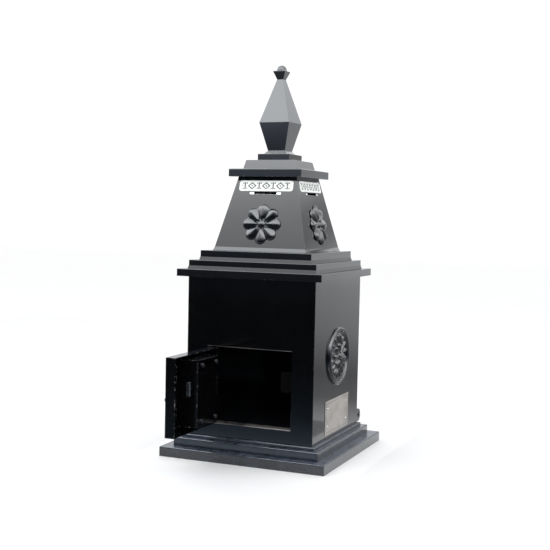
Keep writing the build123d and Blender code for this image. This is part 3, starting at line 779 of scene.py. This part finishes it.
# %% Model one label plate
def label_shape(width, height, thickness):
    """A rounded plate lying flat, with a narrow raised border."""
    corner_radius = 8 * mm
    bpy.ops.object.select_all(action="DESELECT")
    bpy.ops.mesh.primitive_cube_add(size=1, location=(0, 0, 0.5))
    plate = bpy.context.object
    settle_in(plate, Matrix.Diagonal((width, height, thickness, 1)) @ plate.matrix_world)
    bpy.ops.object.mode_set(mode="EDIT")
    bpy.ops.mesh.select_mode(type="EDGE")
    bpy.ops.mesh.select_all(action="DESELECT")
    bpy.ops.object.mode_set(mode="OBJECT")
    for edge in plate.data.edges:
        a, b = (plate.data.vertices[i].co for i in edge.vertices)
        edge.select = abs(a.z - b.z) > 0.5 * thickness
    bpy.ops.object.mode_set(mode="EDIT")
    bpy.ops.mesh.bevel(offset=corner_radius, segments=7, affect="EDGES")
    choose(plate, lambda middle, normal: normal.z > 0.9)
    bpy.ops.mesh.inset(thickness=0.35 * mm)
    bpy.ops.transform.translate(value=(0, 0, 0.2 * mm))
    bpy.ops.mesh.inset(thickness=1.4 * mm)
    bpy.ops.mesh.inset(thickness=0.4 * mm)
    bpy.ops.transform.translate(value=(0, 0, -0.5 * mm))
    finish_mesh(plate, smooth=30)
    flat = plate.data.attributes.new("plate_place", "FLOAT_VECTOR", "POINT")
    for point, vertex in zip(flat.data, plate.data.vertices):
        point.vector = vertex.co
    return plate


# %% The label's finish
def label_finish(name, width):
    """Pale satin plate with a dark chain ornament."""
    f = Finish(name)
    where = f.add("ShaderNodeAttribute", {"attribute_name": "plate_place"}, {}, out=1)
    x, y = f.axes(where)[:2]
    grime = f.noise(where, 90.0, 5.0, 0.65)
    speck = f.noise(where, 700.0, 3.0, 0.6)

    pitch = 45 * mm
    cell = f.add("ShaderNodeMath", {"operation": "PINGPONG"}, {0: x, 1: pitch / 2})
    across = abs(y)

    def lozenge(half_length, half_height, outside, inside):
        return (cell / half_length + across / half_height).ramp(outside, inside)

    solid = lozenge(14.5 * mm, 11.5 * mm, 1.04, 0.97)
    hollow = lozenge(8.6 * mm, 6.8 * mm, 1.06, 0.95)
    heart = lozenge(3.2 * mm, 3.2 * mm, 1.08, 0.92)
    far = pitch / 2 - cell
    bar = far.ramp(2.5 * mm, 2.1 * mm) * across.ramp(10.6 * mm, 10.1 * mm)
    aside, above = far - 5.6 * mm, across - 8.0 * mm
    dot = (aside * aside + above * above).ramp(5.8 * mm * mm, 4.0 * mm * mm)
    inside = abs(x).ramp(width / 2 - 7.5 * mm, width / 2 - 8.1 * mm)
    drawn = ((solid - hollow).most(0.0) + heart + bar + dot).least(1.0)
    ink = drawn * inside * (1.0 - speck.ramp(0.60, 0.75) * 0.35)

    clean, grimy, dark = (0.90, 0.93, 0.91), (0.68, 0.72, 0.66), (0.085, 0.095, 0.090)
    pale = f.blend(grime.ramp(0.40, 0.80), rgba(clean), rgba(grimy))
    colour = f.blend(ink, pale, rgba(dark))
    rough = 0.32 + grime * 0.18 - ink * 0.10
    return f.close(
        Base_Color=colour, Roughness=rough,
        Normal=f.bump(ink * -1.0 + speck * 0.2, 0.00012), IOR=1.48,
    )


# %% Fix the labels under the cap
low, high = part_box("label_plate_front")
label_width = high.x - low.x
label_height = (high.z - low.z) / cos(lean) - 0.35 * mm
half_thickness = 0.75 * mm
label_master = label_shape(label_width, label_height, thickness=1.3 * mm)
coat_with(label_master, label_finish("label_finish", label_width))
for side in sides:
    node = "label_plate_" + side
    level = middle_level(node) - half_thickness * sin(lean)
    label = settle_in(copy_of(label_master, "label_" + side), on_slope(side, level))
    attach(label, "cabinet")
    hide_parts(node)
bpy.data.objects.remove(label_master)
print("labels are", in_mm((label_width, label_height)), "mm")

# %% [markdown]
# ## The blank notice plate
# A grey plate is riveted low on the right wall. It is rolled sheet, so its grain runs along its
# length, and its surface is a little stained. Its shape is already right in the engineered
# model, so it only needs a finish, with a thin engraved frame.


# %% The notice plate's finish
def notice_finish(name, low, high):
    """Satin grey sheet with rolled grain and an engraved border line."""
    f = Finish(name)
    place = f.own_place()
    y, z = f.axes(place)[1:]
    long_grain = f.add("ShaderNodeMapping", {}, {"Vector": place, "Scale": (1, 0.05, 1)})
    grain = f.noise(long_grain, 1100.0, 3.0, 0.6)
    stain = f.noise(place, 26.0, 5.0, 0.6)
    middle = (low + high) / 2
    from_y = (high.y - low.y) / 2 - abs(y - middle.y)
    from_z = (high.z - low.z) / 2 - abs(z - middle.z)
    frame_inset = 7.0 * mm
    groove = abs(from_y.least(from_z) - frame_inset).ramp(0.9 * mm, 0.5 * mm)
    clean, stained, engraved = (0.43, 0.405, 0.38), (0.30, 0.275, 0.25), (0.10, 0.10, 0.11)
    base = f.blend(stain.ramp(0.35, 0.75), rgba(clean), rgba(stained))
    colour = f.blend(groove * 0.7, base, rgba(engraved))
    rough = 0.34 + grain * 0.14 + stain * 0.08
    return f.close(
        Base_Color=colour, Roughness=rough, Metallic=0.35,
        Normal=f.bump(grain * 0.3 - groove, 0.00010),
    )


coat_with(nodes["notice_plate"], notice_finish("notice_finish", *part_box("notice_plate")))
print("notice plate finished")

# %% [markdown]
# ## The floor
# The box stands on a plain pale floor. A perfectly flat colour would look like paper, so the
# floor has a faint plaster texture and a soft sheen. It belongs to the studio, not to the box.

# %% Lay the floor
def stage_sheet(name, corners, material):
    """A flat four-cornered sheet that is part of the studio."""
    mesh = bpy.data.meshes.new(name)
    mesh.from_pydata([Vector(corner) for corner in corners], [], [(0, 1, 2, 3)])
    mesh.materials.append(material)
    sheet_object = bpy.data.objects.new(name, mesh)
    scene.collection.objects.link(sheet_object)
    return sheet_object


floor_finish = Finish("pale_floor")
floor_place = floor_finish.own_place()
floor_cloud = floor_finish.noise(floor_place, 3.0, 4.0)
floor_grain = floor_finish.noise(floor_place, 240.0, 3.0)
floor_dim, floor_pale = (0.885, 0.89, 0.895), (0.92, 0.922, 0.925)
floor_colour = floor_finish.blend(floor_cloud, rgba(floor_dim), rgba(floor_pale))
floor_material = floor_finish.close(
    Base_Color=floor_colour, Roughness=0.7, Normal=floor_finish.bump(floor_grain, 0.0001)
)
reach = 14.0
stage_sheet(
    "studio_floor",
    [(-reach, -reach, 0), (reach, -reach, 0), (reach, reach, 0), (-reach, reach, 0)],
    floor_material,
)
print("floor is", 2 * reach, "m across")

# %% [markdown]
# ## What the paint mirrors
# Glossy black paint has hardly any colour of its own: what we see on it is the room. In a
# catalogue studio dark screens keep an upright front black, and bright sheets overhead make a
# sloping roof look grey. We put four tall screens around the box, one above it, and four mats
# on the floor. They are seen only in mirrors, so they neither light the box nor cast shadows,
# and a camera looks straight through them. Each one's brightness changes along it.

# %% Glowing screens for the reflections
def glow(name, stops, axis="Z", tint=(0.94, 0.97, 1.0), dim_tint=(0.98, 0.99, 1.02)):
    """A glow that runs through (place, brightness) stops along one axis.

    Where it is dim it takes another tint.
    """
    f = Finish(name)
    along = f.axes(f.own_place())["XYZ".index(axis)]
    bright = stops[0][1]
    for (start, low), (end, high) in zip(stops, stops[1:]):
        step = f.add(
            "ShaderNodeMapRange", {},
            {"Value": along, "From Min": start, "From Max": end, "To Max": high - low},
        )
        bright = step + bright
    colour = f.blend(bright.ramp(0.0, 2.0), rgba(dim_tint), rgba(tint))
    lamp = f.add("ShaderNodeEmission", {}, {"Color": colour, "Strength": bright})
    f.add("ShaderNodeOutputMaterial", {}, {"Surface": lamp})
    return f.material


def mirror_only(sheet_object):
    """Leaves a sheet visible to mirrors and to nothing else."""
    sheet_object.visible_camera = False
    sheet_object.visible_diffuse = False
    sheet_object.visible_shadow = False
    sheet_object.visible_transmission = False
    sheet_object.visible_volume_scatter = False


print("glow helpers ready")

# %% Four screens and a ceiling
half_room = 3.0
front_wall = 1.75
room_height = 3.2
front_glow = glow("front_glow", [
    (0.0, 0.015), (0.30, 0.015), (0.42, 0.05), (0.60, 0.16), (0.85, 0.50), (1.05, 0.85),
    (1.20, 1.5), (1.40, 2.4), (1.56, 2.9), (1.75, 4.2), (1.90, 5.5), (2.40, 7.0),
    (room_height, 7.0)], dim_tint=(0.78, 0.95, 1.25))
back_glow = glow("back_glow", [
    (0.0, 0.55), (0.28, 0.74), (0.40, 1.00), (0.55, 0.98), (1.00, 0.80), (1.12, 0.48),
    (1.28, 0.56), (1.48, 1.30), (2.0, 1.6), (room_height, 2.6)])
side_glow = glow("side_glow", [
    (0.0, 0.30), (0.40, 0.55), (0.80, 0.9), (1.30, 2.0), (1.90, 4.0), (room_height, 5.0)])
ceiling_glow = glow(
    "ceiling_glow", [(-front_wall, 7.0), (-0.5, 5.0), (0.6, 2.4), (half_room, 1.6)], "Y")

front_left, front_right = (-half_room, -front_wall), (half_room, -front_wall)
back_left, back_right = (-half_room, half_room), (half_room, half_room)
for name, a, b, material in (
    ("front_screen", front_left, front_right, front_glow),
    ("back_screen", back_right, back_left, back_glow),
    ("left_screen", back_left, front_left, side_glow),
    ("right_screen", front_right, back_right, side_glow),
):
    corners = [(*a, 0.0), (*b, 0.0), (*b, room_height), (*a, room_height)]
    mirror_only(stage_sheet(name, corners, material))
corners = [(*a, room_height) for a in (front_left, front_right, back_right, back_left)]
mirror_only(stage_sheet("ceiling_screen", corners, ceiling_glow))
print("the mirrored room is", 2 * half_room, "m wide and", room_height, "m high")

# %% Four mats on the floor
mat_front, mat_back, mat_side, mat_level = -0.36, 0.45, 0.34, 0.002
front_mat_glow = glow(
    "front_mat_glow", [(-front_wall, 0.03), (-0.9, 0.10), (-0.5, 0.42), (mat_front, 0.9)], "Y",
    dim_tint=(0.60, 0.84, 1.15))
side_mat_glow = glow("side_mat_glow", [(mat_front, 0.45), (mat_back, 0.45)], "Y")
back_mat_glow = glow(
    "back_mat_glow", [(mat_back, 0.85), (0.9, 0.35), (1.5, 0.26), (half_room, 0.55)], "Y")
for name, left, right, near, far, material in (
    ("front_mat", -half_room, half_room, mat_front, -front_wall, front_mat_glow),
    ("back_mat", -half_room, half_room, mat_back, half_room, back_mat_glow),
    ("left_mat", -half_room, -mat_side, mat_front, mat_back, side_mat_glow),
    ("right_mat", mat_side, half_room, mat_front, mat_back, side_mat_glow),
):
    outline = (left, near), (right, near), (right, far), (left, far)
    corners = [(*corner, mat_level) for corner in outline]
    mirror_only(stage_sheet(name, corners, material))
print("mats laid, seen only in reflections")
